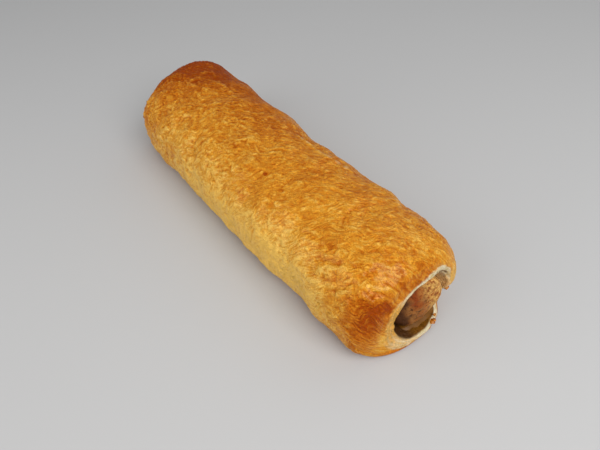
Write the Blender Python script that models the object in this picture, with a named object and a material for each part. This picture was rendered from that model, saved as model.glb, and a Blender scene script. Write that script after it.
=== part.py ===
"""A frikandel roll: a long puff pastry roll, open at both ends, baked round a minced meat sausage.

Metres, +Z up. The roll lies along X and rests on Z = 0. The gaping end is at +X, and the side
with the overlap of the dough is at +Y.
"""

from dataclasses import dataclass

import bpy
import numpy as np

MM = 0.001

# Body of the roll: half widths each side of the centre line and heights, from the far end to the near end
HALF_LENGTH = 86 * MM
LEFT_WIDTHS = np.array([24.5, 29.9, 31.0, 30.0, 29.8, 29.5, 29.0, 28.5, 28.0, 25.6, 25.9, 25.0, 22.5]) * MM
RIGHT_WIDTHS = np.array([23.5, 25.0, 25.9, 25.4, 27.2, 27.4, 25.7, 28.8, 28.8, 30.7, 31.2, 29.9, 28.2]) * MM
HEIGHTS = np.array([36.6, 37.0, 37.2, 37.2, 37.0, 36.8, 37.0, 37.2, 36.2]) * MM
WAIST_SHARE = 0.42
TOP_EXPONENT = 2.25
BASE_EXPONENT = 3.4
BASE_SINK = 0.5 * MM

# Overlap of the dough along the +Y side
SEAM_HEIGHT = 17 * MM
SEAM_SWAY = 2.5 * MM
SEAM_STEP = 0.8 * MM
SEAM_FADE = 7 * MM

# Soft swellings and creases of the baked dough
SWELL_DEPTH = 0.26 * MM
SWELL_WAVES = 18
SWELL_LENGTHS = (13 * MM, 34 * MM)
SWELL_MOST_LOBES = 8
SWELL_SEED = 11
RELIEF_STARTS = 1.5 * MM
RELIEF_FULL = 7 * MM

# Hollow round the sausage
BORE_CENTRE = (5.5 * MM, 14.7 * MM)
SAUSAGE_RADIUS = 11.5 * MM
SAUSAGE_GAP = 0.4 * MM
FLARE_DEPTH = 20 * MM

# Sausage
SAUSAGE_NEAR = 85.0 * MM
SAUSAGE_FAR = 83.5 * MM
SAUSAGE_DOME = 4.5 * MM
DOME_EXPONENT = 2.4
DOME_LEAN = 0.12
RIPPLE_DEPTH = 0.12 * MM
RIPPLE_PERIOD = 21 * MM

# Fineness of the meshes
PASTRY_COLUMNS = 60
BODY_ROWS = 46
SHOULDER_ROWS = 6
LIP_ROWS = 3
FLARE_ROWS = 3
BORE_ROWS = 2
SAUSAGE_COLUMNS = 36
SAUSAGE_ROWS = 14
DOME_ROWS = 5
SECTION_POINTS = 360
TABLE_ROWS = 97

# Brings the middle of the footprint to the origin
CENTRING = np.array([0.3, -0.7, 0.0]) * MM

PASTRY_COLOUR = (0.62, 0.32, 0.075, 1.0)
SAUSAGE_COLOUR = (0.24, 0.105, 0.05, 1.0)


@dataclass
class Opening:
    """A closed outline across the roll: reach to the left and right of its centre, floor, waist and top."""

    centre: float
    left: float
    right: float
    floor: float
    waist: float
    top: float
    exponent: float


@dataclass
class Dip:
    """A stretch of an end's rim that lies further in: its direction round the mouth, its spread and its depth."""

    direction: float
    spread: float
    depth: float


@dataclass
class End:
    """One end of the pastry. Its rim leans back with height, by lean for each metre."""

    side: int
    reach: float
    lean: float
    dips: tuple
    recesses: tuple
    shoulder_base: float
    shoulder_top: float
    crest: Opening
    mouth: Opening


NEAR_END = End(
    side=1,
    reach=87.0 * MM,
    lean=0.28,
    dips=(
        Dip(-33, 16, 7.5 * MM),
        Dip(-10, 26, 2.4 * MM),
        Dip(-62, 14, 1.4 * MM),
        Dip(208, 18, 2.0 * MM),
        Dip(182, 20, 1.5 * MM),
    ),
    recesses=(Dip(30, 22, 2.2 * MM), Dip(212, 20, -0.8 * MM), Dip(0, 400, 0.2 * MM)),
    shoulder_base=6 * MM,
    shoulder_top=14 * MM,
    crest=Opening(5.5 * MM, 19.6 * MM, 19.0 * MM, 1.2 * MM, 11 * MM, 30.3 * MM, 2.3),
    mouth=Opening(6.5 * MM, 14.4 * MM, 14.6 * MM, 2.9 * MM, 14 * MM, 27.0 * MM, 2.6),
)
FAR_END = End(
    side=-1,
    reach=87.0 * MM,
    lean=0.05,
    dips=(Dip(-60, 22, 2.6 * MM), Dip(50, 40, -1.6 * MM), Dip(170, 48, 4.0 * MM)),
    recesses=(Dip(120, 25, 1.5 * MM), Dip(0, 400, 0.5 * MM)),
    shoulder_base=6 * MM,
    shoulder_top=9 * MM,
    crest=Opening(3.0 * MM, 19.5 * MM, 19.5 * MM, 1.2 * MM, 13 * MM, 33.0 * MM, 2.3),
    mouth=Opening(5.0 * MM, 13.6 * MM, 13.6 * MM, 2.9 * MM, 14 * MM, 27.2 * MM, 2.5),
)


def clear_scene():
    for found in list(bpy.data.objects):
        bpy.data.objects.remove(found, do_unlink=True)


def along(x, values):
    """The smooth course, at x, of a size given at even stations from the far end to the near end."""
    stations = np.linspace(-HALF_LENGTH, HALF_LENGTH, len(values))
    slopes = np.gradient(values, stations)
    i = np.clip(np.searchsorted(stations, x) - 1, 0, len(values) - 2)
    step = stations[1] - stations[0]
    t = (x - stations[i]) / step
    rise = 3 * t**2 - 2 * t**3
    bend = (t**3 - 2 * t**2 + t) * slopes[i] + (t**3 - t**2) * slopes[i + 1]
    return values[i] + (values[i + 1] - values[i]) * rise + bend * step


def ease(t):
    t = np.clip(t, 0, 1)
    return t * t * (3 - 2 * t)


def ring(outline, base_exponent, sink, count):
    """The outline as count points, evenly spaced from the middle of its base, anticlockwise seen from +X."""
    turn = np.linspace(-0.5 * np.pi, 1.5 * np.pi, SECTION_POINTS + 1)
    across, up = np.cos(turn), np.sin(turn)
    upper = up > 0
    power = np.where(upper, 2 / outline.exponent, 2 / base_exponent)
    half = np.where(across > 0, outline.right, outline.left)
    rise = np.where(upper, outline.top - outline.waist, outline.waist - outline.floor + sink)
    y = outline.centre + half * np.sign(across) * np.abs(across) ** power
    z = np.maximum(outline.waist + rise * np.sign(up) * np.abs(up) ** power, outline.floor)
    run = np.append(0, np.cumsum(np.hypot(np.diff(y), np.diff(z))))
    even = np.linspace(0, run[-1], count, endpoint=False)
    return np.interp(even, run, y), np.interp(even, run, z)


def body_outline(x):
    height = along(x, HEIGHTS)
    return Opening(0.0, along(x, LEFT_WIDTHS), along(x, RIGHT_WIDTHS), 0.0, WAIST_SHARE * height, height, TOP_EXPONENT)


def body_table(count):
    """The roll's section at even steps along it: x of each, then y and z of each section's points."""
    xs = np.linspace(-HALF_LENGTH, HALF_LENGTH, TABLE_ROWS)
    rings = [ring(body_outline(x), BASE_EXPONENT, BASE_SINK, count) for x in xs]
    return xs, np.array([y for y, _ in rings]), np.array([z for _, z in rings])


def body_points(x, table):
    """Points of the body's surface. Column k of x holds places along the line of points k."""
    xs, ys, zs = table
    columns = range(x.shape[1])
    y = np.stack([np.interp(x[:, k], xs, ys[:, k]) for k in columns], 1)
    z = np.stack([np.interp(x[:, k], xs, zs[:, k]) for k in columns], 1)
    return np.stack([x, y, z], 2)


def dip_depth(dips, y, z):
    """How far the rim lies in at the points (y, z), from the directions in which they lie from the bore."""
    direction = np.degrees(np.arctan2(z - BORE_CENTRE[1], y - BORE_CENTRE[0]))
    depth = np.zeros_like(direction)
    for dip in dips:
        off = (direction - dip.direction + 180) % 360 - 180
        depth += dip.depth * np.exp(-((off / dip.spread) ** 2))
    return depth


def rim(end, outline, recesses, count):
    """Points of the end's rim along the outline."""
    y, z = ring(outline, 3.4, 0.0, count)
    x = end.reach - end.lean * z - dip_depth(end.dips, y, z) - dip_depth(recesses, y, z)
    return np.stack([end.side * x, y, z], 1)


def bore_ring(x, count):
    """Points of the snug part of the hollow."""
    radius = SAUSAGE_RADIUS + SAUSAGE_GAP
    centre_y, centre_z = BORE_CENTRE
    turn = np.linspace(-0.5 * np.pi, 1.5 * np.pi, count, endpoint=False)
    y = centre_y + radius * np.cos(turn)
    z = centre_z + radius * np.sin(turn)
    return np.stack([np.full(count, x), y, z], 1)


def shoulder_start(end, crest):
    """Where the body begins to round over to the crest, for each of the crest's points."""
    height = ease(crest[:, 2] / HEIGHTS.max())
    back = end.shoulder_base + (end.shoulder_top - end.shoulder_base) * height
    return crest[:, 0] - end.side * back


def shoulder_rows(end, crest, table, rows):
    """Rows from the body to the crest, as a quarter of an ellipse in each direction."""
    start = shoulder_start(end, crest)
    turn = np.linspace(0, 0.5 * np.pi, rows + 1)[1:, None]
    x = start + (crest[:, 0] - start) * np.sin(turn)
    inward = (1 - np.cos(turn))[:, :, None]
    skin = body_points(x, table)
    points = skin + (crest[None] - skin) * inward
    points[:, :, 0] = x
    return points


def lip_rows(end, crest, mouth, rows):
    """Rows over the cut edge of the dough, from the crest to the mouth, slightly rounded."""
    share = np.linspace(0, 1, rows + 1)[1:, None, None]
    points = crest + (mouth - crest) * share
    points[:, :, 0] += end.side * 0.5 * MM * np.sin(np.pi * share[:, :, 0])
    return points


def flare_rows(end, mouth, rows):
    """Rows from the mouth in to the snug part of the hollow."""
    snug = bore_ring(end.side * (end.reach - FLARE_DEPTH), len(mouth))
    share = np.linspace(0, 1, rows + 1)[1:, None, None]
    points = mouth + (snug - mouth) * share
    points[:, :, 1:] = mouth[None, :, 1:] + (snug - mouth)[None, :, 1:] * ease(share ** 0.8)
    return points


def swelling(points):
    """Outward shift of the skin at the points: soft swellings, and the overlap along the +Y side."""
    x, y, z = points[..., 0], points[..., 1], points[..., 2]
    turn = np.arctan2(z - BORE_CENTRE[1], y)
    draw = np.random.default_rng(SWELL_SEED)
    shift = np.zeros_like(x)
    for _ in range(SWELL_WAVES):
        length = draw.uniform(*SWELL_LENGTHS)
        lobes = draw.integers(-SWELL_MOST_LOBES, SWELL_MOST_LOBES + 1)
        shift += np.sin(2 * np.pi * x / length + lobes * turn + draw.uniform(0, 2 * np.pi))
    shift *= SWELL_DEPTH / np.sqrt(SWELL_WAVES / 2)
    edge = SEAM_HEIGHT + SEAM_SWAY * np.sin(x / (17 * MM)) + 0.4 * SEAM_SWAY * np.sin(x / (5.3 * MM))
    above = (z - edge) / SEAM_FADE
    flap = np.where(above > 0, 1 - ease(above), ease(1 + 6 * above)) * (y > 0)
    ends = ease((HALF_LENGTH - 8 * MM - np.abs(x)) / (14 * MM))
    shift += SEAM_STEP * flap * ends
    return shift * ease((z - RELIEF_STARTS) / (RELIEF_FULL - RELIEF_STARTS))


def outward(points, closed):
    """Unit normals of a grid of points whose columns go round. The rows join up too if closed."""
    if closed:
        down = np.roll(points, -1, 0) - np.roll(points, 1, 0)
    else:
        down = np.gradient(points, axis=0)
    round_it = np.roll(points, -1, 1) - np.roll(points, 1, 1)
    normal = np.cross(round_it, down)
    return normal / np.maximum(np.linalg.norm(normal, axis=2, keepdims=True), 1e-12)


def pastry_grid(columns, body_rows, shoulder, lip, flare, bore):
    """Points of the pastry, row by row: out along the skin, over the near lip, back through the hollow, over the far lip."""
    table = body_table(columns)
    near_crest = rim(NEAR_END, NEAR_END.crest, (), columns)
    near_mouth = rim(NEAR_END, NEAR_END.mouth, NEAR_END.recesses, columns)
    far_crest = rim(FAR_END, FAR_END.crest, (), columns)
    far_mouth = rim(FAR_END, FAR_END.mouth, FAR_END.recesses, columns)
    far_start = shoulder_start(FAR_END, far_crest)
    near_start = shoulder_start(NEAR_END, near_crest)
    share = np.linspace(0, 1, body_rows)[:, None]
    body = body_points(far_start + (near_start - far_start) * share, table)
    near = shoulder_rows(NEAR_END, near_crest, table, shoulder)
    far = shoulder_rows(FAR_END, far_crest, table, shoulder)
    inner_near = flare_rows(NEAR_END, near_mouth, flare)
    inner_far = flare_rows(FAR_END, far_mouth, flare)
    share = np.linspace(0, 1, bore + 2)[1:-1, None, None]
    through = inner_near[-1] + (inner_far[-1] - inner_near[-1]) * share
    far_lip = lip_rows(FAR_END, far_crest, far_mouth, lip)
    rows = (
        body,
        near,
        lip_rows(NEAR_END, near_crest, near_mouth, lip),
        inner_near,
        through,
        inner_far[::-1],
        far_lip[::-1],
        far[::-1],
    )
    points = np.concatenate(rows)
    skin = np.zeros(len(points), bool)
    skin[: body_rows + shoulder - 1] = True
    skin[-(shoulder - 1) :] = True
    shift = swelling(points) * skin[:, None]
    return points + outward(points, True) * shift[:, :, None]


def ring_faces(rows, columns, closed):
    """Faces of a grid whose columns go round, facing out of a tube whose rows run to +X."""
    last = rows if closed else rows - 1
    return [
        (
            r * columns + k,
            r * columns + (k + 1) % columns,
            (r + 1) % rows * columns + (k + 1) % columns,
            (r + 1) % rows * columns + k,
        )
        for r in range(last)
        for k in range(columns)
    ]


def sausage_profile():
    """(share of the length from the far tip to the near tip in metres, radius) down the sausage, without its tips."""
    turn = np.linspace(0, 0.5 * np.pi, DOME_ROWS + 1)[1:]
    radius = np.sin(turn) ** (2 / DOME_EXPONENT)
    inset = SAUSAGE_DOME * (1 - np.cos(turn) ** (2 / DOME_EXPONENT))
    middle = np.linspace(-SAUSAGE_FAR + SAUSAGE_DOME, SAUSAGE_NEAR - SAUSAGE_DOME, SAUSAGE_ROWS)[1:-1]
    x = np.concatenate([-SAUSAGE_FAR + inset, middle, (SAUSAGE_NEAR - inset)[::-1]])
    share = np.concatenate([radius, np.ones(len(middle)), radius[::-1]])
    return x, share * SAUSAGE_RADIUS


def sausage_mesh():
    """Points and faces of the sausage, with domed tips that lean back with height."""
    x, radius = sausage_profile()
    turn = np.linspace(0, 2 * np.pi, SAUSAGE_COLUMNS, endpoint=False)
    ripple = RIPPLE_DEPTH * np.sin(2 * np.pi * x[:, None] / RIPPLE_PERIOD + 2 * np.sin(turn))
    reach = radius[:, None] + (ripple - RIPPLE_DEPTH) * (radius / SAUSAGE_RADIUS)[:, None]
    y, z = reach * np.cos(turn), reach * np.sin(turn)
    tip = ease((np.abs(x) - 0.8 * SAUSAGE_NEAR) / (0.2 * SAUSAGE_NEAR))[:, None]
    points = np.stack([x[:, None] - np.sign(x)[:, None] * DOME_LEAN * z * tip, y, z], 2)
    faces = ring_faces(len(x), SAUSAGE_COLUMNS, False)
    first = len(x) * SAUSAGE_COLUMNS
    last_ring = (len(x) - 1) * SAUSAGE_COLUMNS
    for k in range(SAUSAGE_COLUMNS):
        after = (k + 1) % SAUSAGE_COLUMNS
        faces.append((first, after, k))
        faces.append((first + 1, last_ring + k, last_ring + after))
    tips = [(-SAUSAGE_FAR, 0, 0), (SAUSAGE_NEAR, 0, 0)]
    points = np.concatenate([points.reshape(-1, 3), tips]) + (0, *BORE_CENTRE)
    return points, faces


def material(name, colour, roughness):
    made = bpy.data.materials.new(name)
    made.use_nodes = True
    shader = made.node_tree.nodes["Principled BSDF"]
    shader.inputs["Base Color"].default_value = colour
    shader.inputs["Roughness"].default_value = roughness
    shader.inputs["Metallic"].default_value = 0.0
    made.diffuse_color = colour
    return made


def solid(name, points, faces, look):
    mesh = bpy.data.meshes.new(name)
    mesh.from_pydata((points + CENTRING).tolist(), [], faces)
    mesh.polygons.foreach_set("use_smooth", [True] * len(faces))
    mesh.materials.append(look)
    mesh.update()
    made = bpy.data.objects.new(name, mesh)
    bpy.context.scene.collection.objects.link(made)
    return made


def build_pastry():
    points = pastry_grid(PASTRY_COLUMNS, BODY_ROWS, SHOULDER_ROWS, LIP_ROWS, FLARE_ROWS, BORE_ROWS)
    faces = ring_faces(points.shape[0], points.shape[1], True)
    return solid("pastry", points.reshape(-1, 3), faces, material("baked pastry", PASTRY_COLOUR, 0.45))


def build_sausage():
    points, faces = sausage_mesh()
    return solid("frikandel", points, faces, material("minced meat", SAUSAGE_COLOUR, 0.5))


def main():
    clear_scene()
    build_pastry()
    build_sausage()


if __name__ == "__main__":
    main()
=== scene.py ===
"""The frikandel roll dressed for its picture: wrinkled crust, cut dough, grainy sausage, sauce and crumbs.

Metres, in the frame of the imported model. The roll lies along X with its gaping end at +X.
"""

import math
from dataclasses import dataclass

import bpy
import numpy as np
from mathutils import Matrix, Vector


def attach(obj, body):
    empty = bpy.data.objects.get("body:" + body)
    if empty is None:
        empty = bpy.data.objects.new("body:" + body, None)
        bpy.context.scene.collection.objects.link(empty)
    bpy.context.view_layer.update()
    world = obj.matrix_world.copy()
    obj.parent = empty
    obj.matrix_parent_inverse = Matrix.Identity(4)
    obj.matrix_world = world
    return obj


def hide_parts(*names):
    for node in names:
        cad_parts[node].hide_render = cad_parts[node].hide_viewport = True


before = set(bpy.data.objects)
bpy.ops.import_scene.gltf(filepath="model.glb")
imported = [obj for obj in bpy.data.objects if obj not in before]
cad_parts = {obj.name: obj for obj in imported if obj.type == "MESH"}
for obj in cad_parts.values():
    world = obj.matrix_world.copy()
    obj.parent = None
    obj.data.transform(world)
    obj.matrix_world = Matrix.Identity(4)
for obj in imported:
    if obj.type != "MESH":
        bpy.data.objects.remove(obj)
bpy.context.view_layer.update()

MM = 0.001

# Form of the roll, as in the part's source
HALF_LENGTH = 86 * MM
LEFT_WIDTHS = np.array([24.5, 29.9, 31.0, 30.0, 29.8, 29.5, 29.0, 28.5, 28.0, 25.6, 25.9, 25.0, 22.5]) * MM
RIGHT_WIDTHS = np.array([23.5, 25.0, 25.9, 25.4, 27.2, 27.4, 25.7, 28.8, 28.8, 30.7, 31.2, 29.9, 28.2]) * MM
HEIGHTS = np.array([36.6, 37.0, 37.2, 37.2, 37.0, 36.8, 37.0, 37.2, 36.2]) * MM
WAIST_SHARE = 0.42
TOP_EXPONENT = 2.25
BASE_EXPONENT = 3.4
RIM_EXPONENT = 3.4
BASE_SINK = 0.5 * MM
SEAM_HEIGHT = 17 * MM
SEAM_SWAY = 2.5 * MM
SEAM_WAVES = (17 * MM, 5.3 * MM)
SEAM_RIPPLE_SHARE = 0.4
SEAM_STEP = 0.8 * MM
SEAM_FADE = 7 * MM
SEAM_STEEPNESS = 6
SEAM_END = 8 * MM
SEAM_END_FADE = 14 * MM
SWELL_DEPTH = 0.26 * MM
SWELL_WAVES = 18
SWELL_LENGTHS = (13 * MM, 34 * MM)
SWELL_MOST_LOBES = 8
SWELL_SEED = 11
RELIEF_STARTS = 1.5 * MM
RELIEF_FULL = 7 * MM
BORE_CENTRE = (5.5 * MM, 14.7 * MM)
SAUSAGE_RADIUS = 11.5 * MM
SAUSAGE_GAP = 0.4 * MM
FLARE_DEPTH = 20 * MM
FLARE_CROWDING = 1.5
FLARE_ROUNDING = 0.8
LIP_BULGE = 0.5 * MM
SAUSAGE_NEAR = 85.0 * MM
SAUSAGE_FAR = 83.5 * MM
SAUSAGE_DOME = 4.5 * MM
DOME_EXPONENT = 2.4
DOME_LEAN = 0.12
CENTRING = np.array([0.3, -0.7, 0.0]) * MM

# The near tip of the sausage, which slopes and narrows more than in the solids
NEAR_SLOPE = 0.62
NEAR_SLOPE_WAY = (-0.75, 0.66)
NEAR_BEND = 3 * MM
NEAR_TAPER = 1.0 * MM
NEAR_TAPER_REACH = (78 * MM, 85 * MM)

# Fineness of the dressed meshes. Coarseness says how much wider apart the columns lie on the base
SECTION_POINTS = 720
TABLE_ROWS = 193
COLUMNS = 288
BODY_ROWS = 250
SHOULDER_ROWS = 22
LIP_ROWS = 9
FLARE_ROWS = 12
BORE_ROWS = 2
BASE_COARSENESS = 0.3
SAUSAGE_COLUMNS = 144
DOME_RINGS = 22
NECK_RINGS = 30
NECK_STEP = 0.6 * MM
BAR_RINGS = 6
CRUMB_RINGS = 10
CRUMB_COLUMNS = 16

# Wrinkles of the crust. Their angles are in radians from the way round the roll. A sway is the size of its
# lumps, how far it shifts things and its seed
WRINKLE_DEPTH = 0.75 * MM
WRINKLE_REST = 0.6
WRINKLE_SIZES = ((2.6 * MM, 6.5 * MM), (1.3 * MM, 2.8 * MM))
WRINKLE_ANGLES = (-1.8, -1.3, -0.8, -0.3, 0.2, 0.7)
WRINKLE_SPREAD = 0.35
WRINKLE_MIDDLE = -0.64
WRINKLE_DRIFT = 1.1
WRINKLE_DRIFT_SIZE = 22 * MM
WRINKLE_SEEDS = (30, 50)
BROAD_SWAY = (6.5 * MM, 1.8 * MM, 21)
CLOSE_SWAY = (2.4 * MM, 0.5 * MM, 25)
FLECK_SIZE = (2.4 * MM, 1.7 * MM)
HAIR_SIZE = (0.8 * MM, 3.2 * MM)
HAIR_SWAYS = ((7 * MM, 2.6 * MM, 91), (2.2 * MM, 0.65 * MM, 93))
DENT_DEPTH = 0.30 * MM
DENT_SIZE = 7.5 * MM
DENT_REST = 0.2

# Where the forms of the crust lie in its noise: middle and reach, or start and full
FOLD_BAND = (0.30, 0.17)
GROOVE_BAND = (-0.04, 0.14)
SMALL_FOLD_BAND = (0.32, 0.20)
SMALL_GROOVE_BAND = (-0.06, 0.17)
FLECK_RANGE = (0.20, 0.44)

# What the forms of the crust add to its height, as a share of the depth, and to its tone: the crust's own
# uneven browning, with painted highlight on folds and flecks and painted shade in grooves and creases
REST_HEIGHT = 0.25
PUFF_HEIGHT = 0.25
FOLD_HEIGHT, FOLD_TONE = 0.28, -0.17
GROOVE_HEIGHT, GROOVE_TONE = -0.26, 0.13
SMALL_FOLD_HEIGHT, SMALL_FOLD_TONE = 0.14, -0.12
SMALL_GROOVE_HEIGHT, SMALL_GROOVE_TONE = -0.12, 0.11
FLECK_HEIGHT, FLECK_TONE = 0.26, -0.19
LARGE_FOLD_HEIGHT, LARGE_FOLD_TONE = 0.55, -0.25

# Stage at which the crust's relief ends, over the crest, and how softly
SKIN_ENDS = 1.3
SKIN_FADE = 0.7

# Relief of the cut dough, the hollow and the smear
LAYER_COUNT = 3.5
LAYER_DEPTH = 0.14 * MM
TORN_DEPTH = 0.25 * MM
HOLLOW_DEPTH = 0.3 * MM
SMEAR_THICKNESS = 0.5 * MM

# Camera: a lens of 30 mm on a 36 mm sensor, above the near end of the roll. Angles are in degrees
LENS = 30.0
SENSOR = 36.0
CLIP_START = 10 * MM
CAMERA_TARGET = (13.72 * MM, 1.02 * MM)
CAMERA_HEIGHT = 168.9 * MM
CAMERA_PITCH = 47.96
CAMERA_AZIMUTH = 53.29


@dataclass
class Opening:
    """A closed outline across the roll: reach to the left and right of its centre, floor, waist and top.

    The exponent makes its upper half squarer.
    """

    centre: float
    left: float
    right: float
    floor: float
    waist: float
    top: float
    exponent: float


@dataclass
class Dip:
    """A stretch of an end's rim that lies further in: its direction round the mouth, spread and depth."""

    direction: float
    spread: float
    depth: float


@dataclass
class End:
    """One end of the pastry. Its rim leans back with height, by lean for each metre."""

    side: int
    reach: float
    lean: float
    dips: tuple
    recesses: tuple
    shoulder_base: float
    shoulder_top: float
    crest: Opening
    mouth: Opening


NEAR_END = End(
    side=1,
    reach=87.0 * MM,
    lean=0.28,
    dips=(
        Dip(-33, 16, 7.5 * MM),
        Dip(-10, 26, 2.4 * MM),
        Dip(-62, 14, 1.4 * MM),
        Dip(208, 18, 2.0 * MM),
        Dip(182, 20, 1.5 * MM),
    ),
    recesses=(Dip(30, 22, 2.2 * MM), Dip(212, 20, -0.8 * MM), Dip(0, 400, 0.2 * MM)),
    shoulder_base=6 * MM,
    shoulder_top=14 * MM,
    crest=Opening(5.5 * MM, 19.6 * MM, 19.0 * MM, 1.2 * MM, 11 * MM, 30.3 * MM, 2.3),
    mouth=Opening(6.5 * MM, 13.7 * MM, 14.6 * MM, 3.9 * MM, 14 * MM, 25.2 * MM, 2.1),
)
FAR_END = End(
    side=-1,
    reach=87.0 * MM,
    lean=0.05,
    dips=(Dip(-60, 22, 2.6 * MM), Dip(50, 40, -1.6 * MM), Dip(170, 48, 4.0 * MM)),
    recesses=(Dip(120, 25, 1.5 * MM), Dip(0, 400, 0.5 * MM)),
    shoulder_base=6 * MM,
    shoulder_top=9 * MM,
    crest=Opening(3.0 * MM, 19.5 * MM, 19.5 * MM, 1.2 * MM, 13 * MM, 33.0 * MM, 2.3),
    mouth=Opening(5.0 * MM, 13.6 * MM, 13.6 * MM, 2.9 * MM, 14 * MM, 27.2 * MM, 2.5),
)


# Courses and directions


def ease(t):
    """A share that starts and ends softly, held at 0 and 1."""
    t = np.clip(t, 0, 1)
    return t * t * (3 - 2 * t)


def step(value, low, high):
    """The share of the way of value from low to high, eased."""
    return ease((value - low) / (high - low))


def band(value, middle, reach):
    """A soft bell of height 1 over the middle."""
    return np.exp(-(((value - middle) / reach) ** 2))


def shares(count):
    """Even shares of a way, with its end and without its start."""
    return np.linspace(0, 1, count + 1)[1:]


def off(direction, middle):
    """How many degrees a direction lies from the middle one, from -180 to 180."""
    return (direction - middle + 180) % 360 - 180


def direction_of(y, z):
    """Directions, in degrees, in which points lie from the middle of the bore."""
    return np.degrees(np.arctan2(z - BORE_CENTRE[1], y - BORE_CENTRE[0]))


def turn_of(y, z):
    """Directions, in radians, in which points lie from the roll's middle at the height of the bore."""
    return np.arctan2(z - BORE_CENTRE[1], y)


# Form of the roll


def along(x, values):
    """The smooth course, at x, of a size given at even stations from the far end to the near end."""
    stations = np.linspace(-HALF_LENGTH, HALF_LENGTH, len(values))
    slopes = np.gradient(values, stations)
    i = np.clip(np.searchsorted(stations, x) - 1, 0, len(values) - 2)
    gap = stations[1] - stations[0]
    t = (x - stations[i]) / gap
    rise = 3 * t**2 - 2 * t**3
    bend = (t**3 - 2 * t**2 + t) * slopes[i] + (t**3 - t**2) * slopes[i + 1]
    return values[i] + (values[i + 1] - values[i]) * rise + bend * gap


def column_shares():
    """Shares of the way round at which the columns lie: wider apart on the base than on the top."""
    share = np.linspace(0, 1, COLUMNS, endpoint=False)
    return share + BASE_COARSENESS / (2 * np.pi) * np.sin(2 * np.pi * share)


def ring(outline, base_exponent, sink):
    """The outline as a point for each column, from the middle of its base, anticlockwise seen from +X."""
    turn = np.linspace(-0.5 * np.pi, 1.5 * np.pi, SECTION_POINTS + 1)
    across, up = np.cos(turn), np.sin(turn)
    upper = up > 0
    power = np.where(upper, 2 / outline.exponent, 2 / base_exponent)
    half = np.where(across > 0, outline.right, outline.left)
    rise = np.where(upper, outline.top - outline.waist, outline.waist - outline.floor + sink)
    y = outline.centre + half * np.sign(across) * np.abs(across) ** power
    z = np.maximum(outline.waist + rise * np.sign(up) * np.abs(up) ** power, outline.floor)
    run = np.append(0, np.cumsum(np.hypot(np.diff(y), np.diff(z))))
    places = run[-1] * column_shares()
    return np.interp(places, run, y), np.interp(places, run, z)


def body_outline(x):
    """The outline of the roll at x."""
    height = along(x, HEIGHTS)
    left, right = along(x, LEFT_WIDTHS), along(x, RIGHT_WIDTHS)
    return Opening(0.0, left, right, 0.0, WAIST_SHARE * height, height, TOP_EXPONENT)


def body_table():
    """The roll's section at even steps along it: x of each, then y and z of each section's points."""
    xs = np.linspace(-HALF_LENGTH, HALF_LENGTH, TABLE_ROWS)
    rings = [ring(body_outline(x), BASE_EXPONENT, BASE_SINK) for x in xs]
    return xs, np.array([y for y, _ in rings]), np.array([z for _, z in rings])


def body_points(x, table):
    """Points of the body's surface. Column k of x holds places along the line of points k."""
    xs, ys, zs = table
    columns = range(x.shape[1])
    y = np.stack([np.interp(x[:, k], xs, ys[:, k]) for k in columns], 1)
    z = np.stack([np.interp(x[:, k], xs, zs[:, k]) for k in columns], 1)
    return np.stack([x, y, z], 2)


def dip_depth(dips, y, z):
    """How far the rim lies in at the points (y, z)."""
    direction = direction_of(y, z)
    depth = np.zeros_like(direction)
    for dip in dips:
        depth += dip.depth * band(off(direction, dip.direction), 0, dip.spread)
    return depth


def rim(end, outline, recesses):
    """Points of the end's rim along the outline."""
    y, z = ring(outline, RIM_EXPONENT, 0.0)
    x = end.reach - end.lean * z - dip_depth(end.dips, y, z) - dip_depth(recesses, y, z)
    return np.stack([end.side * x, y, z], 1)


def bore_ring(x):
    """Points of the snug part of the hollow."""
    radius = SAUSAGE_RADIUS + SAUSAGE_GAP
    centre_y, centre_z = BORE_CENTRE
    turn = 2 * np.pi * column_shares() - 0.5 * np.pi
    y = centre_y + radius * np.cos(turn)
    z = centre_z + radius * np.sin(turn)
    return np.stack([np.full(COLUMNS, x), y, z], 1)


def shoulder_start(end, crest):
    """Where the body begins to round over to the crest, for each of the crest's points."""
    height = ease(crest[:, 2] / HEIGHTS.max())
    back = end.shoulder_base + (end.shoulder_top - end.shoulder_base) * height
    return crest[:, 0] - end.side * back


def shoulder_rows(end, crest, table):
    """Rows from the body to the crest, as a quarter of an ellipse in each direction."""
    start = shoulder_start(end, crest)
    turn = 0.5 * np.pi * shares(SHOULDER_ROWS)[:, None]
    x = start + (crest[:, 0] - start) * np.sin(turn)
    inward = (1 - np.cos(turn))[:, :, None]
    skin = body_points(x, table)
    points = skin + (crest[None] - skin) * inward
    points[:, :, 0] = x
    return points


def lip_rows(end, crest, mouth):
    """Rows over the cut edge of the dough, from the crest to the mouth, slightly rounded."""
    share = shares(LIP_ROWS)[:, None, None]
    points = crest + (mouth - crest) * share
    points[:, :, 0] += end.side * LIP_BULGE * np.sin(np.pi * share[:, :, 0])
    return points


def flare_rows(end, mouth, rows):
    """Rows from the mouth in to the snug part of the hollow, closer together near the mouth."""
    way = bore_ring(end.side * (end.reach - FLARE_DEPTH)) - mouth
    share = shares(rows)[:, None, None] ** FLARE_CROWDING
    points = mouth + way * share
    points[:, :, 1:] = mouth[:, 1:] + way[:, 1:] * ease(share**FLARE_ROUNDING)
    return points


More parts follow.
